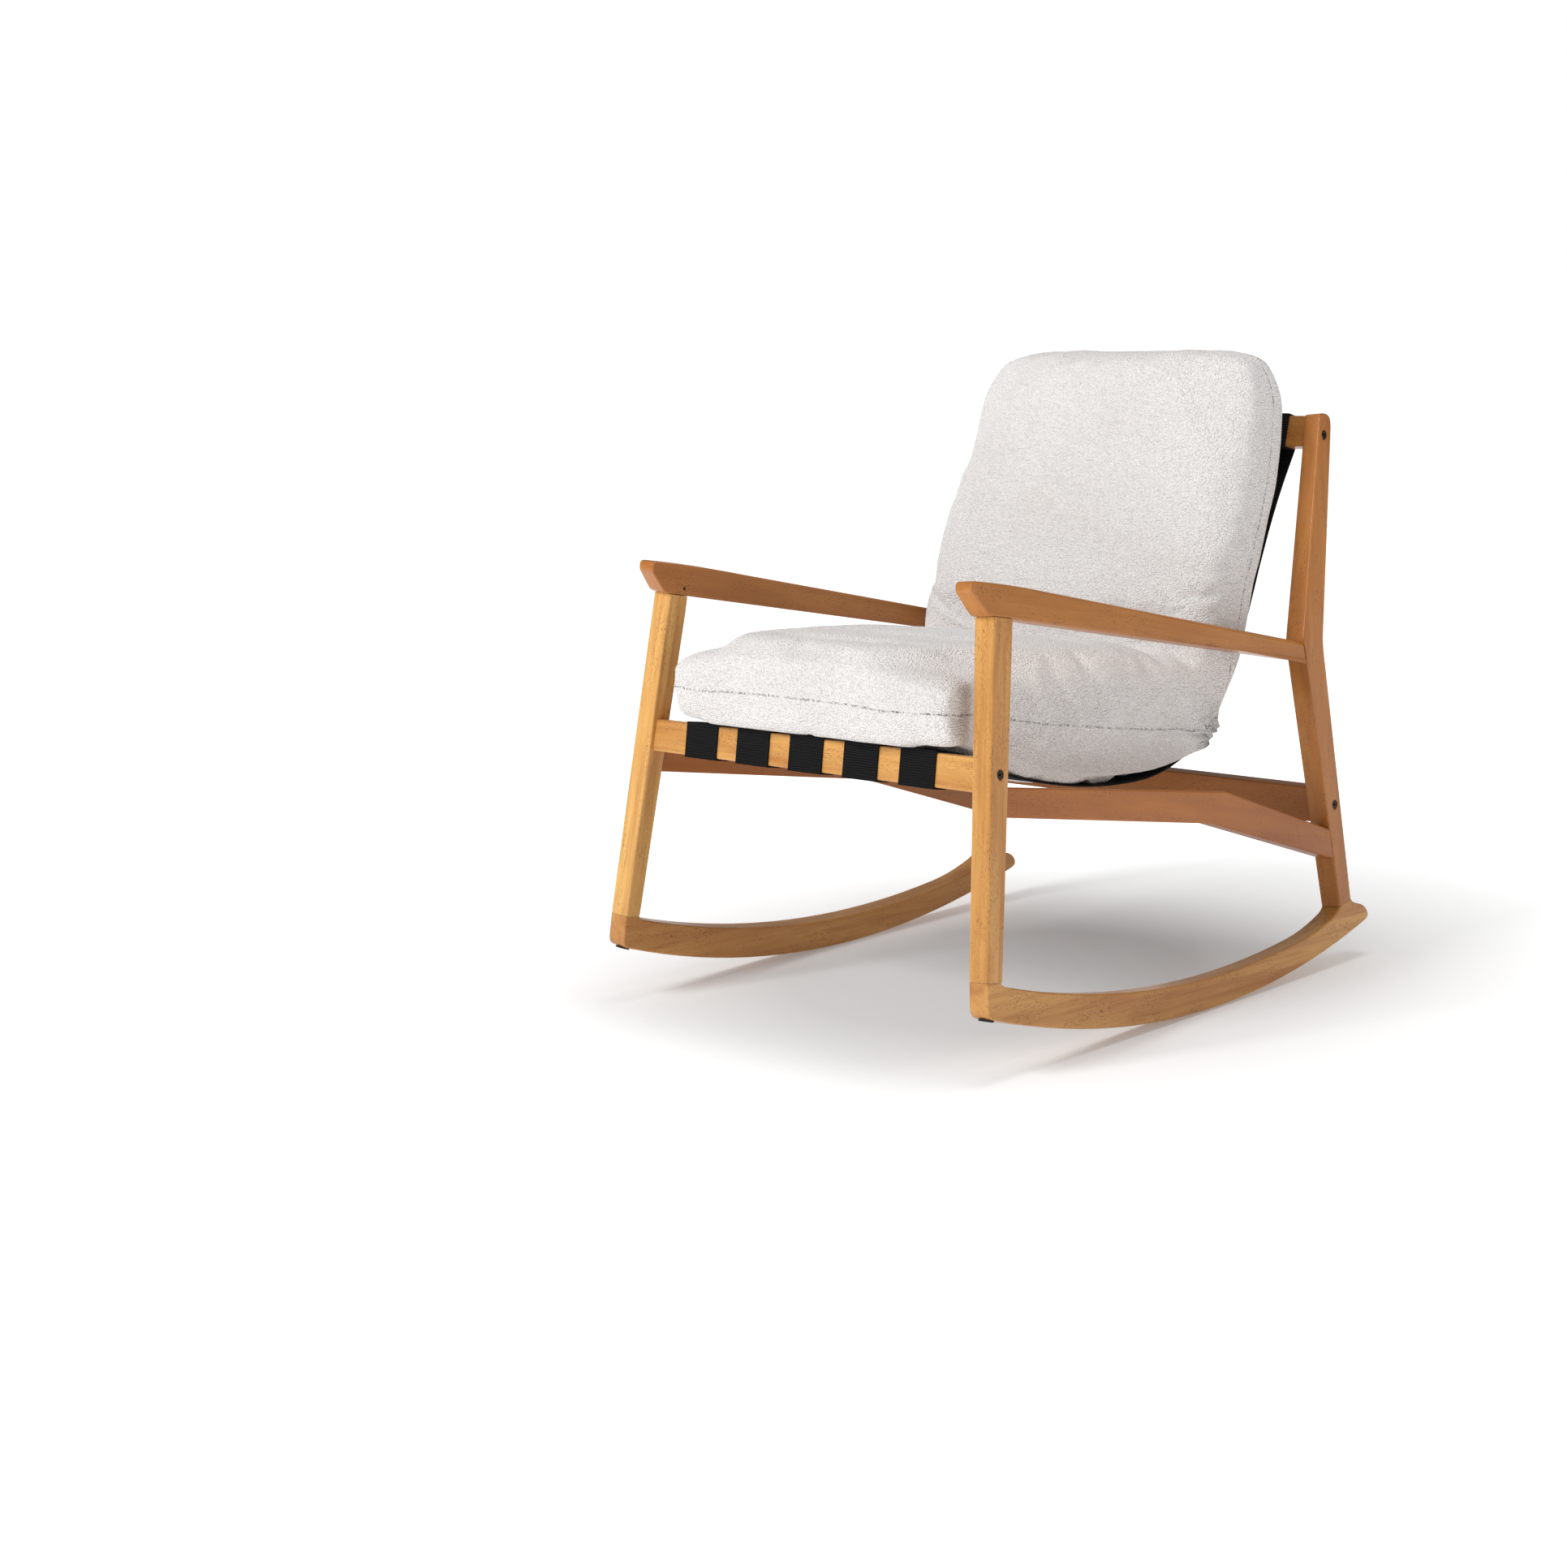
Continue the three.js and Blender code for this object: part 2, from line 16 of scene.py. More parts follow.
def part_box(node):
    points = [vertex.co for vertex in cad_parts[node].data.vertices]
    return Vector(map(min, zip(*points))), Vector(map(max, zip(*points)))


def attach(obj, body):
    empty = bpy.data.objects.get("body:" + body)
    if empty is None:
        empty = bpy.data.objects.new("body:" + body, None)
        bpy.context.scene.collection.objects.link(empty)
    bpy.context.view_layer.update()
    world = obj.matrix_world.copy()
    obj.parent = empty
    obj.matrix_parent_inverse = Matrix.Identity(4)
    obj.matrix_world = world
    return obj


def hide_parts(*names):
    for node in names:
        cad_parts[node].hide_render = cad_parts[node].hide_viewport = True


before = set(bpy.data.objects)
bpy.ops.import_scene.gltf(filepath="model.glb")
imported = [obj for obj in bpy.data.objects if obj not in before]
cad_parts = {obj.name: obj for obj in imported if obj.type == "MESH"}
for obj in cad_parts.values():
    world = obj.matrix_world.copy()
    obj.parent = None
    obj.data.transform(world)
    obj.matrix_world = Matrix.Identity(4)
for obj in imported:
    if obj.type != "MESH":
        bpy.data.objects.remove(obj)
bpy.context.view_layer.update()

MM = 0.001
SIDES = ("right", "left")
STRAPS = 5

# The upright drawing and the tipped chair
ARC_HEIGHT = 1439.6  # middle of the rockers' arc above the floor
ARC_BACK = 420.0  # how far back it is on the drawing
CONTACT_BACK = 45.6  # where the rockers touch, behind the middle of the chair
TIP = Matrix.Rotation(math.radians(-2.6), 4, "X")


def tipped(x, back, height):
    """A point of the upright drawing, in the row frame."""
    turned = TIP @ Vector((x, back - ARC_BACK, height - ARC_HEIGHT))
    return (turned + Vector((0, CONTACT_BACK, ARC_HEIGHT))) * MM


# Camera

PHOTO_LENS = 65.25
PHOTO_PLACE = (2.5702, -3.0857, 1.0046)
PHOTO_TURN = (79.935, 1.799, 43.772)  # degrees
SENSOR_WIDTH = 36


def add_camera():
    data = bpy.data.cameras.new("camera")
    data.lens = PHOTO_LENS
    data.sensor_width = SENSOR_WIDTH
    data.sensor_fit = "HORIZONTAL"
    camera = bpy.data.objects.new("camera", data)
    camera.location = PHOTO_PLACE
    camera.rotation_euler = Euler([math.radians(angle) for angle in PHOTO_TURN])
    bpy.context.scene.collection.objects.link(camera)
    bpy.context.scene.camera = camera


# Materials


def srgb(red, green, blue):
    """A colour as given, in linear values."""

    def linear(value):
        value /= 255
        return value / 12.92 if value <= 0.04045 else ((value + 0.055) / 1.055) ** 2.4

    return (linear(red), linear(green), linear(blue), 1.0)


class Shader:
    """A node material, with short ways to add and join its nodes."""

    def __init__(self, name, **sockets):
        self.material = bpy.data.materials.new(name)
        self.material.use_nodes = True
        self.tree = self.material.node_tree
        self.surface = self.tree.nodes["Principled BSDF"]
        for socket, value in sockets.items():
            self.surface.inputs[socket.replace("_", " ")].default_value = value

    def node(self, kind, inputs=(), **settings):
        made = self.tree.nodes.new(f"ShaderNode{kind}")
        for key, value in settings.items():
            setattr(made, key, value)
        for socket, value in dict(inputs).items():
            self.put(value, made.inputs[socket])
        return made

    def put(self, value, socket):
        """Joins an output to a socket, or sets the socket's value."""
        if isinstance(value, bpy.types.NodeSocket):
            self.tree.links.new(value, socket)
        else:
            socket.default_value = value

    def position(self, attribute=None, scale=(1, 1, 1)):
        if attribute:
            source = self.node("Attribute", attribute_name=attribute).outputs["Vector"]
        else:
            source = self.node("TexCoord").outputs["Object"]
        return self.node("Mapping", {"Vector": source, "Scale": scale}).outputs["Vector"]

    def noise(self, place, scale=1.0, detail=2.0, roughness=0.5):
        inputs = {"Vector": place, "Scale": scale, "Detail": detail, "Roughness": roughness}
        return self.node("TexNoise", inputs).outputs["Fac"]

    def band(self, value, low, high, new_low=0.0, new_high=1.0):
        """A value stretched from one range to another, and kept inside it."""
        inputs = {
            "Value": value,
            "From Min": low,
            "From Max": high,
            "To Min": new_low,
            "To Max": new_high,
        }
        return self.node("MapRange", inputs).outputs["Result"]

    def math(self, operation, first, second=0.0):
        return self.node("Math", {0: first, 1: second}, operation=operation).outputs["Value"]

    def mix(self, amount, first, second):
        made = self.node("Mix", {"Factor": amount}, data_type="RGBA")
        self.put(first, made.inputs[6])
        self.put(second, made.inputs[7])
        return made.outputs[2]

    def colour(self, value):
        self.put(value, self.surface.inputs["Base Color"])

    def roughness(self, value):
        self.put(value, self.surface.inputs["Roughness"])

    def bump(self, height, distance, strength=1.0, under=None):
        inputs = {"Height": height, "Distance": distance, "Strength": strength}
        if under is not None:
            inputs["Normal"] = under
        normal = self.node("Bump", inputs).outputs["Normal"]
        self.put(normal, self.surface.inputs["Normal"])
        return normal


def beech_material():
    """Lacquered beech: the grain runs along the first axis of "grain"; a second attribute gives each
    board a tone that is partly its own wood and partly painted light and shade.
    """
    shader = Shader("beech", Coat_Weight=0.16, Coat_Roughness=0.08, Specular_IOR_Level=0.3)
    broad = shader.noise(shader.position("grain", (2.2, 16, 16)), detail=3)
    figure = shader.noise(shader.position("grain", (5, 95, 95)), detail=4, roughness=0.6)
    lines = shader.noise(shader.position("grain", (22, 900, 900)), detail=2)
    flecks = shader.noise(shader.position("grain", (210, 1300, 1300)), detail=1)
    patches = shader.noise(shader.position("grain", (14, 40, 40)), detail=1)
    pale = shader.node("Attribute", attribute_name="pale").outputs["Fac"]
    light = shader.band(broad, 0.32, 0.68)
    # Painted light and shade: each board's tone blends a dark red set, for boards seen mostly in
    # shade, with a pale straw set, for boards seen mostly in light.
    colour = shader.mix(
        pale,
        shader.mix(light, srgb(150, 82, 26), srgb(178, 107, 40)),
        shader.mix(light, srgb(190, 131, 66), srgb(229, 178, 104)),
    )
    colour = shader.mix(shader.band(figure, 0.46, 0.7, 0, 0.6), colour, srgb(162, 97, 42))
    colour = shader.mix(shader.band(lines, 0.5, 0.8, 0, 0.4), colour, srgb(150, 92, 47))
    fleck = shader.math(
        "MULTIPLY",
        shader.band(flecks, 0.6, 0.68),
        shader.band(patches, 0.42, 0.62, 0.12, 0.85),
    )
    shader.colour(shader.mix(fleck, colour, srgb(92, 50, 27)))
    shader.roughness(shader.band(lines, 0.3, 0.7, 0.3, 0.4))
    shader.bump(shader.math("SUBTRACT", lines, fleck), 0.00008, 0.5)
    return shader.material


RIB_PITCH = 0.0031  # from one rib of the webbing to the next
THREAD_PITCH = 0.0011  # from one thread to the next along a rib


def webbing_material():
    """Black tape, ribbed across: the "along" attribute is (along the tape, across it, 0)."""
    shader = Shader("webbing", Roughness=0.75, Specular_IOR_Level=0.12)
    place = shader.position("along")
    wander = shader.noise(shader.position("along", (55, 22, 0)), detail=2)
    split = shader.node("SeparateXYZ", {"Vector": place})
    drift = shader.math("MULTIPLY", wander, 0.0035)
    ribs = shader.math("ADD", split.outputs["X"], drift)
    wave = shader.math("SINE", shader.math("MULTIPLY", ribs, 2 * math.pi / RIB_PITCH))
    thread_turns = shader.math("MULTIPLY", split.outputs["Y"], 2 * math.pi / THREAD_PITCH)
    threads = shader.math("SINE", thread_turns)
    relief = shader.math("ADD", wave, shader.math("MULTIPLY", threads, 0.25))
    worn = shader.noise(shader.position("along", (160, 700, 0)), detail=3)
    # Painted shade: the tape is darker in the hollows between its ribs and lighter on their crests.
    colour = shader.mix(shader.band(wave, -1, 1), srgb(8, 8, 9), srgb(31, 31, 33))
    shader.colour(shader.mix(shader.band(worn, 0.5, 0.75, 0, 0.5), colour, srgb(34, 34, 35)))
    shader.bump(relief, 0.0007, 1.0)
    return shader.material


def cloth_material():
    """Off-white weave with thick short threads. The "seam" attribute is the distance to a seam."""
    shader = Shader(
        "cushion_cloth",
        Roughness=0.95,
        Sheen_Weight=0.35,
        Sheen_Roughness=0.6,
        Specular_IOR_Level=0.2,
    )
    weave = shader.node(
        "TexVoronoi",
        {"Vector": shader.position(scale=(1, 1, 1.25)), "Scale": 330.0, "Randomness": 0.85},
    ).outputs["Distance"]
    twist = shader.noise(shader.position(), scale=520, detail=2)
    slubs = shader.noise(shader.position(scale=(1, 1, 2.4)), scale=95, detail=3, roughness=0.65)
    tone = shader.noise(shader.position(), scale=9, detail=3)
    seam = shader.node("Attribute", attribute_name="seam").outputs["Fac"]
    # Along the seam the cloth is pressed into a groove by a bump, and painted darker there as shade.
    seam_groove_and_shade = shader.band(shader.math("ABSOLUTE", seam), 0.0003, 0.0016, 1, 0)
    colour = shader.mix(shader.band(tone, 0.3, 0.7), srgb(241, 236, 233), srgb(248, 244, 242))
    # Painted shade and highlight: the weave is darker in its hollows and lighter on its raised slubs.
    colour = shader.mix(shader.band(weave, 0.35, 0.75, 0, 0.48), colour, srgb(212, 206, 203))
    colour = shader.mix(shader.band(slubs, 0.55, 0.72, 0, 0.3), colour, srgb(250, 247, 245))
    shader.colour(shader.mix(shader.math("MULTIPLY", seam_groove_and_shade, 0.25), colour, srgb(150, 145, 143)))
    threads = shader.math("ADD", weave, shader.math("MULTIPLY", twist, 0.5))
    threads = shader.math("SUBTRACT", shader.math("MULTIPLY", slubs, 0.9), threads)
    under = shader.bump(threads, 0.003, 1.0)
    shader.bump(shader.math("MULTIPLY", seam_groove_and_shade, -1.0), 0.001, 1.0, under)
    return shader.material


def worn_metal(name, colour, edge, roughness):
    shader = Shader(name, Metallic=0.9)
    cloud = shader.noise(shader.position(), scale=380, detail=3)
    shader.colour(shader.mix(shader.band(cloud, 0.4, 0.7), colour, edge))
    shader.roughness(shader.band(cloud, 0.3, 0.7, roughness - 0.06, roughness + 0.08))
    shader.bump(cloud, 0.00005, 0.4)
    return shader.material


def rubber_material():
    shader = Shader("rubber", Specular_IOR_Level=0.35)
    grit = shader.noise(shader.position(), scale=900, detail=3)
    shader.colour(shader.mix(shader.band(grit, 0.3, 0.7), srgb(20, 20, 20), srgb(40, 39, 38)))
    shader.roughness(shader.band(grit, 0.3, 0.7, 0.65, 0.85))
    shader.bump(grit, 0.0002, 0.5)
    return shader.material


# Meshes


MERGE = 2e-5  # vertices closer than this are one
FLAT = math.radians(0.6)  # faces that meet at less than this are one


def linked(name, mesh, material):
    made = bpy.data.objects.new(name, mesh)
    bpy.context.scene.collection.objects.link(made)
    mesh.materials.clear()
    mesh.materials.append(material)
    return made


def store(mesh, name, vectors):
    """Keeps one vector for each vertex, for the material to read."""
    attribute = mesh.attributes.new(name, "FLOAT_VECTOR", "POINT")
    attribute.data.foreach_set("vector", np.asarray(vectors, np.float32).ravel())


def clean_copy(node):
    """A CAD node's solid as a bmesh, with its flat faces whole again."""
    work = bmesh.new()
    work.from_mesh(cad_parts[node].data)
    bmesh.ops.remove_doubles(work, verts=work.verts, dist=MERGE)
    bmesh.ops.dissolve_limit(work, angle_limit=FLAT, verts=work.verts, edges=work.edges)
    bmesh.ops.recalc_face_normals(work, faces=work.faces)
    return work


# Timber: the CAD solids with their arrises rounded, and the grain's direction stored

TIMBERS = [f"{name}_{side}" for side in SIDES for name in ("rocker", "front_leg", "rear_post")]
TIMBERS += [f"{name}_{side}" for side in SIDES for name in ("arm", "side_rail")]
TIMBERS += ["front_seat_rail", "rear_stretcher", "top_back_rail"]
PAIRED = [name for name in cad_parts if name.endswith(("_left", "_right"))]
FASTENERS = [name for name in PAIRED if name not in TIMBERS]

# Each board's tone, from red-brown to straw: partly the boards' own wood, partly painted shade on
# boards seen mostly on their shaded sides, and painted light on the front legs, the front rail and the
# rockers.
BOARD_TONE_AND_SHADE = {
    "rocker": 0.7,
    "front_leg": 1.0,
    "rear_post": 0.22,
    "arm": 0.24,
    "side_rail": 0.0,
    "front_seat": 0.95,
    "rear_stretcher": 0.1,
    "top_back": 0.5,
}
ARRIS = 0.0026  # the width of a rounded edge
CREASE = math.radians(28)  # faces that meet at more than this make an arris
SHADE_SPLIT = math.radians(34)  # and at more than this they are shaded apart
SLOPE = 0.019  # how far in from its outer edge an arm's top starts to fall
FALL = 0.0075  # how much lower it is at the edge
NOSE = 0.03  # how far behind its tip an arm's outer side starts to turn in
TURN_IN = 0.009  # how far it has turned in at the tip
ARM_CUTS = 6
FALL_CURVE = 1.7
NOSE_CURVE = 2.2
CUT_CURVE = 1.4  # brings the nose's cuts closer together towards its tip
FACING_UP = 0.03  # the least upward normal of a vertex that falls with the top
JOINT_REACH = 0.0012  # an edge this close to another timber belongs to a joint


def surface_tree(node):
    work = clean_copy(node)
    tree = BVHTree.FromBMesh(work)
    work.free()
    return tree


def fastener_boxes():
    margin = Vector((0.001, 0.001, 0.001))
    boxes = []
    for name in FASTENERS:
        low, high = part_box(name)
        boxes.append((low - margin, high + margin))
    return boxes


def inside(point, box):
    return all(box[0][i] <= point[i] <= box[1][i] for i in range(3))


def free_arrises(work, others, holes):
    """The edges that a hand can feel: sharp, outside the joints and not round a hole."""
    found = []
    for edge in work.edges:
        if len(edge.link_faces) != 2 or edge.calc_face_angle(0) < CREASE:
            continue
        ends = [vert.co for vert in edge.verts]
        middle = (ends[0] + ends[1]) / 2
        if any(inside(ends[0], box) and inside(ends[1], box) for box in holes):
            continue
        if any(tree.find_nearest(middle, JOINT_REACH)[0] is not None for tree in others):
            continue
        if not edge.is_convex:
            continue
        found.append(edge)
    return found


def grain_places(coordinates, seed):
    """Each point as (along, across, through) the timber, from a start of its own in the wood."""
    spread = coordinates - coordinates.mean(axis=0)
    axes = np.linalg.svd(spread, full_matrices=False)[2]
    start = np.random.default_rng(seed).uniform(-20, 20, 3)
    return spread @ axes.T + start


def round_off(made):
    """Rounds the weighted edges."""
    bevel = made.modifiers.new("arrises", "BEVEL")
    bevel.width = ARRIS
    bevel.segments = 4
    bevel.limit_method = "WEIGHT"
    bevel.use_clamp_overlap = False
    apply_modifiers(made)


def shape_arm(mesh, outward):
    """Lets an arm's top fall away towards its outer edge, and its outer side turn in at the nose."""
    work = bmesh.new()
    work.from_mesh(mesh)
    outer = max(vert.co.x * outward for vert in work.verts)
    tip = min(vert.co.y for vert in work.verts)
    for i in range(ARM_CUTS):
        share = 1 - i / ARM_CUTS
        across = (outward * (outer - SLOPE * share), 0, 0)
        along = (0, tip + NOSE * share**CUT_CURVE, 0)
        for place, normal in ((across, (1, 0, 0)), (along, (0, 1, 0))):
            geometry = work.verts[:] + work.edges[:] + work.faces[:]
            bmesh.ops.bisect_plane(work, geom=geometry, plane_co=place, plane_no=normal)
    work.normal_update()
    moves = {}
    for vert in work.verts:
        edge = max(0, (vert.co.x * outward - outer + SLOPE) / SLOPE)
        nose = max(0, 1 - (vert.co.y - tip) / NOSE)
        fall = FALL * edge**FALL_CURVE if vert.normal.z > FACING_UP else 0
        moves[vert] = Vector((-outward * TURN_IN * nose**NOSE_CURVE * edge, 0, -fall))
    for vert, move in moves.items():
        vert.co += move
    work.to_mesh(mesh)
    work.free()


def add_timber(node, trees, holes, material):
    work = clean_copy(node)
    others = [tree for name, tree in trees.items() if name != node]
    weight = work.edges.layers.float.new("bevel_weight_edge")
    for edge in free_arrises(work, others, holes):
        edge[weight] = 1.0
    mesh = bpy.data.meshes.new(f"{node}_timber")
    work.to_mesh(mesh)
    work.free()
    made = linked(f"{node}_timber", mesh, material)
    round_off(made)
    if node.startswith("arm_"):
        shape_arm(made.data, 1 if node.endswith("right") else -1)
    store(made.data, "grain", grain_places(positions(made.data), TIMBERS.index(node)))
    pale = next(value for name, value in BOARD_TONE_AND_SHADE.items() if node.startswith(name))
    tone = made.data.attributes.new("pale", "FLOAT", "POINT")
    tone.data.foreach_set("value", [pale] * len(made.data.vertices))
    made.data.shade_smooth()
    made.data.set_sharp_from_angle(angle=SHADE_SPLIT)
    smooth = made.modifiers.new("shading", "WEIGHTED_NORMAL")
    smooth.weight = 80
    smooth.keep_sharp = True
    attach(made, "frame")
    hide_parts(node)


# Webbing: the CAD straps' outline, swept again with the place along the tape stored


TAPE_COLUMNS = 9  # vertices across a strap


def side_outline(node):
    """The points of a strap's side face, in order round it."""
    work = clean_copy(node)
    face = max(work.faces, key=lambda face: abs(face.normal.x) * face.calc_area())
    points = [vert.co.copy() for vert in face.verts]
    work.free()
    return points


def tape_sides(points):
    """Splits a tape's outline at its two ends into two lines that run the same way."""
    count = len(points)
    sizes = [(points[i] - points[(i + 1) % count]).length for i in range(count)]
    first, second = sorted(sorted(range(count), key=lambda i: sizes[i])[:2])
    one = points[first + 1 : second + 1]
    two = points[second + 1 :] + points[: first + 1]
    return one, two[::-1]


def add_strap(node, material):
    low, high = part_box(node)
    one, two = tape_sides(side_outline(node))
    count = min(len(one), len(two))
    columns = TAPE_COLUMNS
    mesh = bpy.data.meshes.new(f"{node}_tape")
    vertices = []
    places = []
    along = 0.0
    for i in range(count):
        if i:
            along += ((one[i] + two[i]) / 2 - (one[i - 1] + two[i - 1]) / 2).length
        for line in (one, two):
            for j in range(columns):
                x = low.x + (high.x - low.x) * j / (columns - 1)
                vertices.append((x, line[i].y, line[i].z))
                places.append((along, x - low.x, 0))
    faces = []
    ring = 2 * columns
    loop = list(range(columns)) + list(range(ring - 1, columns - 1, -1))
    for i in range(count - 1):
        for j in range(ring):
            a, b = loop[j], loop[(j + 1) % ring]
            faces.append((i * ring + a, i * ring + b, (i + 1) * ring + b, (i + 1) * ring + a))
    faces.append(loop[::-1])
    faces.append([(count - 1) * ring + j for j in loop])
    mesh.from_pydata(vertices, [], faces)
    store(mesh, "along", places)
    made = linked(f"{node}_tape", mesh, material)
    mesh.shade_smooth()
    mesh.set_sharp_from_angle(angle=math.radians(40))
    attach(made, "frame")
    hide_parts(node)


# Cushion: one cover in two sheets that meet at the seam, puffed up, gathered and laid on the sling

# Along the cushion from its front edge over the bend to its top: the seam, the sitting side and
# the side that lies on the sling, each as (back, height), and the half width.
CUSHION_STATIONS = (
    ((-8, 444), (-6, 503), (0, 391), 246),
    ((60, 435), (62, 504), (62, 391), 250),
    ((146, 420), (146, 503), (147, 366), 256),
    ((232, 404), (232, 503), (236, 341), 260),
    ((318, 389), (318, 500), (322, 325), 262),
    ((391, 378), (391, 496), (396, 318), 263),
    ((460, 372), (455, 488), (465, 316), 263),
    ((530, 370), (516, 480), (541, 326), 262),
    ((588, 373), (546, 476), (603, 354), 260),
    ((630, 408), (552, 486), (650, 408), 260),
    ((658, 476), (548, 520), (697, 488), 261),
    ((682, 566), (568, 576), (731, 572), 262),
    ((712, 656), (596, 656), (762, 656), 262),
    ((737, 748), (626, 748), (790, 748), 260),
    ((748, 836), (652, 838), (797, 832), 257),
    ((750, 905), (674, 905), (792, 905), 254),
)
ROWS = 150  # along the cushion, from the front edge to the top
COLUMNS = 84  # across it, on each sheet

# The drawn cover, in millimetres
FRONT_REACH = 78  # how far back from the front edge the cover takes to reach its full depth
TOP_REACH = 80  # and how far down from the top edge
FRONT_CORNER = (0.03, 45)  # by what share the front narrows at its edge, and over what length
TOP_CORNER = (0.12, 95)
BEND_START = 0.58  # the place along the seam, from 0 to 1, where the seat turns into the back
BEND_SPAN = 0.15
CREST = (8, 25, 110)  # the top edge's lift in the middle, its fall at the sides, and their reach
CREST_HALF = 254
EARS = (34, 10, 75)  # how far the front corners flare, right and left, and their reach
PINCH = (262, 600, 372)  # where the bend gathers the seam, on each side: x, back, height
GATHER_REACH = 230
FOLDS = 4.5  # ridges in a half turn round a pinch
FOLD_FADE = 46
FOLD_START = 10
SWELL_REACH = 62
CAP = 12.0  # the furthest a point of the cover may move as it puffs up

# Where it rests, in metres
FRAME_INSET = 0.324  # from the middle to a side frame's inner face, at the floor
FRAME_LEAN = 0.0864  # how much nearer it is for each metre up
FRAME_GAP = 0.002
ARM_LEVEL = 0.58  # above this the cover may widen again, by ABOVE_ARMS for each metre
ABOVE_ARMS = 0.6
SLING_GAP = 0.0008  # between the cover and a strap
BULGE = 0.006  # how far the cover comes through between two straps
DROOP = 0.008  # how far it hangs down beside the outermost straps
STRAP_FADE = 0.012  # how far from a strap's edge it is most of the way through
RAIL_CLEAR = 0.045  # nearer than this to a rail's middle it doesn't come through
RAIL_FADE = 0.06  # the distance beyond that over which it begins to
SLING_BEYOND = 0.4  # how far the sling's line runs on past the top rail
PUFF_STEPS = 12
NEAR_SEAM = 0.0012


def smooth_line(points):
    """A smooth curve through points, as a function of a place from 0 to 1 along their list."""
    points = np.array(points, float)
    slopes = np.gradient(points, axis=0)
    last = len(points) - 1

    def value(at):
        i = min(int(at * last), last - 1)
        t = at * last - i
        return (
            points[i] * (1 + 2 * t) * (1 - t) ** 2
            + slopes[i] * t * (1 - t) ** 2
            + points[i + 1] * t**2 * (3 - 2 * t)
            + slopes[i + 1] * t**2 * (t - 1)
        )

    return value


def even_places(line, count):
    """Places along a smooth line that are evenly spaced in length."""
    fine = np.linspace(0, 1, 800)
    points = np.array([line(at) for at in fine])
    steps = np.linalg.norm(np.diff(points, axis=0), axis=1)
    length = np.concatenate(([0], np.cumsum(steps)))
    return np.interp(np.linspace(0, length[-1], count), length, fine), length[-1]


def end_rise(distance, reach):
    """How full the cushion is at a distance from its end: 0 at the end, 1 past the reach."""
    return math.sqrt(1 - max(0, 1 - distance / reach) ** 3.2)


def crown(wide, rise, upright):
    """How far the sheet that is sat on stands off the seam, as a share of its full depth."""
    blunt = 0.17 + 0.08 * upright
    return (0.84 * wide**blunt + 0.16 * wide**1.5) * rise**0.42


def belly(wide, rise, upright):
    """The same for the sheet on the sling, which hangs fuller at its sides under the seat."""
    flank = 0.24 + 0.26 * upright
    hang = 1.2 * (1 - upright)
    return (1.1 * wide**flank + hang * wide * (1 - wide) ** 2) * rise**0.38


def cross_line(middle, outer, half, fullness, rise, upright):
    """One sheet's line across the cushion, as evenly spaced points from side to side."""
    out = np.sin(np.linspace(-0.5, 0.5, 401) * math.pi)
    wide = np.sqrt(np.maximum(1 - np.abs(out) ** 5, 0))
    full = fullness(wide, rise, upright)[:, None]
    points = np.hstack((half * out[:, None], middle + (outer - middle) * full))
    steps = np.linalg.norm(np.diff(points, axis=0), axis=1)
    length = np.concatenate(([0], np.cumsum(steps)))
    even = np.linspace(0, length[-1], COLUMNS + 1)
    return np.column_stack([np.interp(even, length, points[:, k]) for k in range(3)])


def fade(distance, reach):
    """1 at an end of the cushion, falling to 0 at the reach."""
    return max(0, 1 - distance / reach)


def cushion_grid():
    """The cover as rows of points on its two sheets, upright, in millimetres."""
    seam, top, under = (smooth_line([row[i] for row in CUSHION_STATIONS]) for i in range(3))
    half = smooth_line([(row[3],) for row in CUSHION_STATIONS])
    places, length = even_places(seam, ROWS + 1)
    sheets = np.zeros((2, ROWS + 1, COLUMNS + 1, 3))
    lift, drop, crest_reach = CREST
    right_ear, left_ear, ear_reach = EARS
    for i, place in enumerate(places):
        run = length * i / ROWS
        left = length - run
        rise = end_rise(run, FRONT_REACH) * end_rise(left, TOP_REACH)
        front_corner = FRONT_CORNER[0] * fade(run, FRONT_CORNER[1]) ** 2
        top_corner = TOP_CORNER[0] * fade(left, TOP_CORNER[1]) ** 2.2
        width = float(half(place)[0]) * (1 - (front_corner + top_corner))
        upright = min(1, max(0, (place - BEND_START) / BEND_SPAN))
        middle = seam(place)
        sheets[0, i] = cross_line(middle, top(place), width, crown, rise, upright)
        sheets[1, i] = cross_line(middle, under(place), width, belly, rise, upright)
        out = sheets[:, i, :, 0] / width
        ears = np.where(out > 0, right_ear, left_ear) * np.abs(out) ** 3
        sheets[:, i, :, 0] += ears * math.exp(-((run / ear_reach) ** 2))
        sideways = np.abs(sheets[:, i, :, 0] / CREST_HALF)
        sheets[:, i, :, 2] += fade(left, crest_reach) ** 2 * (lift - drop * sideways**4)
    return sheets


def gather(made):
    """Pulls the cover in at the pinches, with folds that run out from them."""
    x, back, height = PINCH
    for vert in made.data.vertices:
        for side in (1, -1):
            away = (vert.co - tipped(side * x, back, height)) / MM
            far = away.length
            if far > GATHER_REACH:
                continue
            turn = math.atan2(away.z, away.y)
            ridge = 1 - 2 * abs(math.sin(FOLDS * turn + 0.6 + 0.012 * far))
            fold = ridge * math.exp(-far / FOLD_FADE) * far / (far + FOLD_START)
            swell = math.exp(-((far / SWELL_REACH) ** 2))
            out = 15 * swell + 7 * fold
            sideways = side * (17 * fold - 3 * swell)
            vert.co += Vector((sideways, 0.2 * out, 5 * fold - 0.9 * out)) * MM


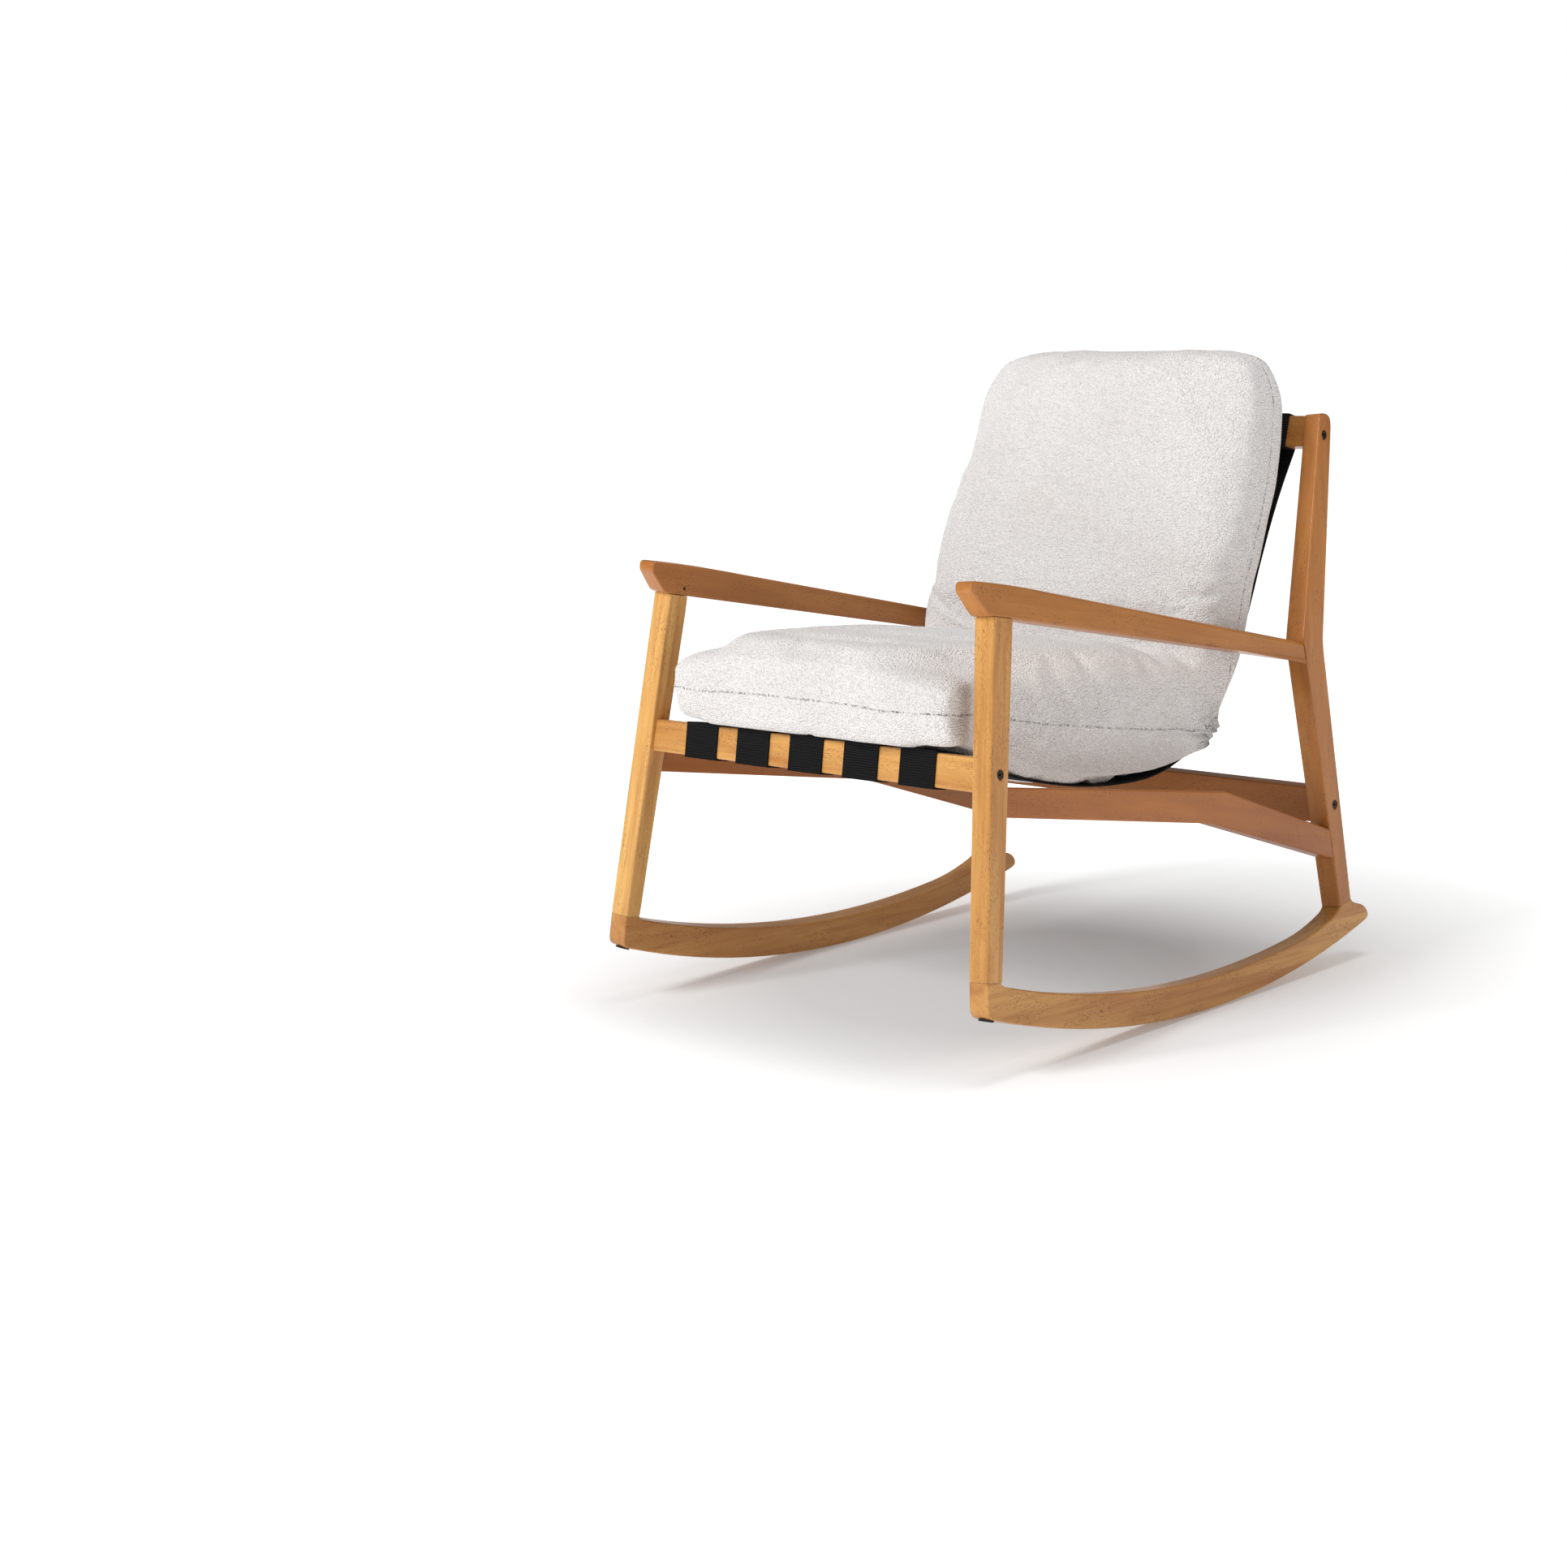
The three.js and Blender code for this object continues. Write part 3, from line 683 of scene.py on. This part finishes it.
def cover_mesh():
    sheets = cushion_grid()
    work = bmesh.new()
    depth = work.verts.layers.float.new("seam")
    for sheet, facing in ((0, 1), (1, -1)):
        grid = []
        for i in range(ROWS + 1):
            line = []
            for j in range(COLUMNS + 1):
                edge = sheets[0, i, 0 if j < COLUMNS / 2 else COLUMNS]
                point = Vector(sheets[sheet, i, j])
                reach = min((point - Vector(edge)).length, (point - Vector(sheets[0, 0, j])).length)
                reach = min(reach, (point - Vector(sheets[0, ROWS, j])).length)
                vert = work.verts.new(tipped(*point))
                vert[depth] = reach * MM * facing
                line.append(vert)
            grid.append(line)
        for i in range(ROWS):
            for j in range(COLUMNS):
                corners = [grid[i][j], grid[i][j + 1], grid[i + 1][j + 1], grid[i + 1][j]]
                work.faces.new(corners if facing > 0 else corners[::-1])
    bmesh.ops.remove_doubles(work, verts=work.verts, dist=MERGE)
    if work.calc_volume(signed=True) < 0:
        bmesh.ops.reverse_faces(work, faces=work.faces)
    mesh = bpy.data.meshes.new("cushion_cover")
    work.to_mesh(mesh)
    work.free()
    return mesh


def positions(mesh):
    found = np.zeros(len(mesh.vertices) * 3)
    mesh.vertices.foreach_get("co", found)
    return found.reshape(-1, 3)


def place_all(mesh, points):
    mesh.vertices.foreach_set("co", points.ravel())
    mesh.update()


def apply_modifiers(made):
    """Replaces a piece's mesh with what its modifiers make of it."""
    graph = bpy.context.evaluated_depsgraph_get()
    result = bpy.data.meshes.new_from_object(made.evaluated_get(graph), depsgraph=graph)
    made.modifiers.clear()
    made.vertex_groups.clear()
    made.data = result


def puff(made):
    """Blows the cover up as cloth, with its seam tighter than the rest, then caps each move."""
    before = positions(made.data)
    tight = made.vertex_groups.new(name="tight")
    flags = np.zeros(len(made.data.vertices))
    made.data.attributes["seam"].data.foreach_get("value", flags)
    for index in np.flatnonzero(np.abs(flags) < NEAR_SEAM):
        tight.add([int(index)], 1.0, "REPLACE")
    cloth = made.modifiers.new("cloth", "CLOTH")
    settings = cloth.settings
    settings.quality = 5
    settings.mass = 0.25
    settings.tension_stiffness = 12
    settings.compression_stiffness = 8
    settings.shear_stiffness = 6
    settings.bending_stiffness = 0.6
    settings.effector_weights.gravity = 0
    settings.use_pressure = True
    settings.uniform_pressure_force = 1.3
    settings.vertex_group_shrink = tight.name
    settings.shrink_min = -0.02
    settings.shrink_max = 0.1
    cloth.collision_settings.use_collision = False
    cloth.collision_settings.use_self_collision = False
    cloth.point_cache.frame_start = 1
    cloth.point_cache.frame_end = PUFF_STEPS
    for step in range(1, PUFF_STEPS + 1):
        bpy.context.scene.frame_set(step)
    apply_modifiers(made)
    bpy.context.scene.frame_set(1)
    moves = positions(made.data) - before
    sizes = np.linalg.norm(moves, axis=1, keepdims=True)
    limit = CAP * MM
    place_all(made.data, before + moves * limit * np.tanh(sizes / limit) / np.maximum(sizes, 1e-9))


def sling_line():
    """The straps' sitting side from the front rail up past the top rail, as (y, z) rows."""
    above = tipped(0, 400, 450)
    lines = tape_sides(side_outline("sling_strap_1"))
    line = min(lines, key=lambda line: min((point.yz - above.yz).length for point in line))
    front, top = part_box("front_seat_rail"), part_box("top_back_rail")
    highest = top[0].z - 0.004
    lowest = front[0].z + 0.012
    kept = []
    for point in line:
        under_front_rail = point.y < front[1].y and point.z < lowest
        if point.z < highest and not under_front_rail:
            kept.append(point)
    if kept[0].z > kept[-1].z:
        kept.reverse()
    lean = (kept[-1] - kept[-3]).normalized()
    kept.append(kept[-1] + SLING_BEYOND * lean)
    return np.array([(point.y, point.z) for point in kept]), np.array((above.y, above.z))


def nearest_on_line(points, line):
    """For (y, z) points: the signed distance to the line and the line's normal there."""
    starts, steps = line[:-1], np.diff(line, axis=0)
    lengths = np.maximum(np.linalg.norm(steps, axis=1), 1e-9)
    best = np.full(len(points), np.inf)
    signed = np.zeros(len(points))
    normals = np.zeros((len(points), 2))
    for start, step, length in zip(starts, steps, lengths):
        along = np.clip((points - start) @ step / length**2, 0, 1)
        away = points - start - along[:, None] * step
        distance = np.linalg.norm(away, axis=1)
        normal = np.array((-step[1], step[0])) / length
        nearer = distance < best
        best[nearer] = distance[nearer]
        signed[nearer] = (away @ normal)[nearer]
        normals[nearer] = normal
    return signed, normals


def rest_on_sling(made):
    """Presses the cover flat on the straps, and lets it bulge a little between them."""
    line, above = sling_line()
    if nearest_on_line(above[None], line)[0][0] < 0:
        line = line[::-1]
    points = positions(made.data)
    signed, normals = nearest_on_line(points[:, 1:], line)
    beside = np.full(len(points), np.inf)
    for i in range(STRAPS):
        low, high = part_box(f"sling_strap_{i + 1}")
        beside = np.minimum(beside, np.maximum(low.x - points[:, 0], points[:, 0] - high.x))
    beside = np.maximum(beside, 0)
    free = np.ones(len(points))
    for rail in ("front_seat_rail", "top_back_rail"):
        low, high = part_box(rail)
        middle = np.array((low.y + high.y, low.z + high.z)) / 2
        away = np.linalg.norm(points[:, 1:] - middle, axis=1)
        free = np.minimum(free, np.clip((away - RAIL_CLEAR) / RAIL_FADE, 0, 1))
    outermost = max(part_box(f"sling_strap_{i + 1}")[1].x for i in range(STRAPS))
    depth = np.where(np.abs(points[:, 0]) > outermost, DROOP, BULGE)
    floor = SLING_GAP - depth * free * (1 - np.exp(-((beside / STRAP_FADE) ** 2)))
    lacking = np.maximum(floor - signed, 0)
    points[:, 1:] += normals * lacking[:, None]
    place_all(made.data, points)


def stay_between_frames(made):
    """Keeps the cover's sides clear of the legs and arms, and lets them out above the arms."""
    points = positions(made.data)
    limit = FRAME_INSET - FRAME_LEAN * points[:, 2] - FRAME_GAP
    limit += ABOVE_ARMS * np.maximum(points[:, 2] - ARM_LEVEL, 0)
    points[:, 0] = np.clip(points[:, 0], -limit, limit)
    place_all(made.data, points)


def add_cushion(material):
    made = linked("cushion_cover", cover_mesh(), material)
    puff(made)
    finer = made.modifiers.new("finer", "SUBSURF")
    finer.levels = finer.render_levels = 1
    apply_modifiers(made)
    gather(made)
    rest_on_sling(made)
    stay_between_frames(made)
    made.data.shade_smooth()
    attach(made, "cushion")
    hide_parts("seat_cushion", "back_cushion")


# Small pieces, kept from the CAD


def dress(names, material, arris):
    for name in names:
        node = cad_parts[name]
        for slot in node.material_slots:
            slot.material = material
        bevel = node.modifiers.new("arris", "BEVEL")
        bevel.width = arris
        bevel.segments = 2
        bevel.limit_method = "ANGLE"
        bevel.angle_limit = math.radians(40)
        node.data.shade_smooth()
        node.data.set_sharp_from_angle(angle=math.radians(35))


# Floor and light


FLOOR_HALF = 30
SKY_LIGHT = 0.27  # the world's strength as a light
SKY_SEEN = 1.0  # and as the camera sees it
# Painted light and shadow: the floor glows, dimly under the chair as a painted shadow and brightly far
# from it.
GLOW_RANGE = (0.3, 1.35)  # from the middle, where the floor's glow starts to grow and where it ends
GLOW = (0.14, 0.9)


def add_area(name, place, target, size, power):
    data = bpy.data.lights.new(name, "AREA")
    data.shape = "RECTANGLE"
    data.size, data.size_y = size
    data.energy = power
    lamp = bpy.data.objects.new(name, data)
    lamp.location = place
    lamp.rotation_euler = (Vector(target) - Vector(place)).to_track_quat("-Z", "Y").to_euler()
    bpy.context.scene.collection.objects.link(lamp)


def add_stage():
    world = bpy.data.worlds.new("studio")
    bpy.context.scene.world = world
    world.use_nodes = True
    sky = world.node_tree.nodes["Background"]
    sky.inputs["Color"].default_value = (1, 1, 1, 1)
    seen = world.node_tree.nodes.new("ShaderNodeLightPath").outputs["Is Camera Ray"]
    strength = world.node_tree.nodes.new("ShaderNodeMapRange")
    strength.inputs["To Min"].default_value = SKY_LIGHT
    strength.inputs["To Max"].default_value = SKY_SEEN
    world.node_tree.links.new(seen, strength.inputs["Value"])
    world.node_tree.links.new(strength.outputs["Result"], sky.inputs["Strength"])
    shader = Shader("floor", Roughness=0.9, Specular_IOR_Level=0.05)
    shader.colour(srgb(226, 226, 226))
    # The floor's glow grows with distance from the chair, leaving a painted shadow under it.
    away = shader.node("VectorMath", {0: shader.position()}, operation="LENGTH").outputs["Value"]
    shader.put(shader.band(away, *GLOW_RANGE, *GLOW), shader.surface.inputs["Emission Strength"])
    shader.surface.inputs["Emission Color"].default_value = (1, 1, 1, 1)
    mesh = bpy.data.meshes.new("floor")
    half = FLOOR_HALF
    corners = [(-half, -half, 0), (half, -half, 0), (half, half, 0), (-half, half, 0)]
    mesh.from_pydata(corners, [], [(0, 1, 2, 3)])
    linked("floor", mesh, shader.material)
    middle = (0, 0, 0.45)
    add_area("key", (-0.7, -3.6, 2.8), middle, (1.2, 1.5), 118)
    add_area("top", (0.3, 0.2, 3.2), middle, (1.0, 1.0), 24)
    add_area("side", (3.2, 0.5, 1.0), middle, (1.2, 1.6), 12)
    bpy.context.scene.view_settings.view_transform = "Standard"


def build():
    add_camera()
    add_stage()
    beech = beech_material()
    trees = {name: surface_tree(name) for name in TIMBERS}
    holes = fastener_boxes()
    for node in TIMBERS:
        add_timber(node, trees, holes, beech)
    webbing = webbing_material()
    for i in range(STRAPS):
        add_strap(f"sling_strap_{i + 1}", webbing)
    add_cushion(cloth_material())
    bronze = worn_metal("bronze", srgb(52, 42, 36), srgb(74, 60, 50), 0.38)
    steel = worn_metal("steel", srgb(150, 152, 155), srgb(178, 180, 183), 0.32)
    dress([name for name in FASTENERS if "bolt" in name or "screw" in name], bronze, 0.0003)
    dress([name for name in FASTENERS if name.split("_")[-2] == "nut"], steel, 0.0003)
    dress([name for name in FASTENERS if "pad" in name], rubber_material(), 0.0004)
    dowels = [name for name in FASTENERS if "dowel" in name]
    for seed, name in enumerate(dowels):
        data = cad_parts[name].data
        places = np.array([vert.co for vert in data.vertices])
        store(data, "grain", grain_places(places, seed))
    dress(dowels, beech, 0.0003)


build()
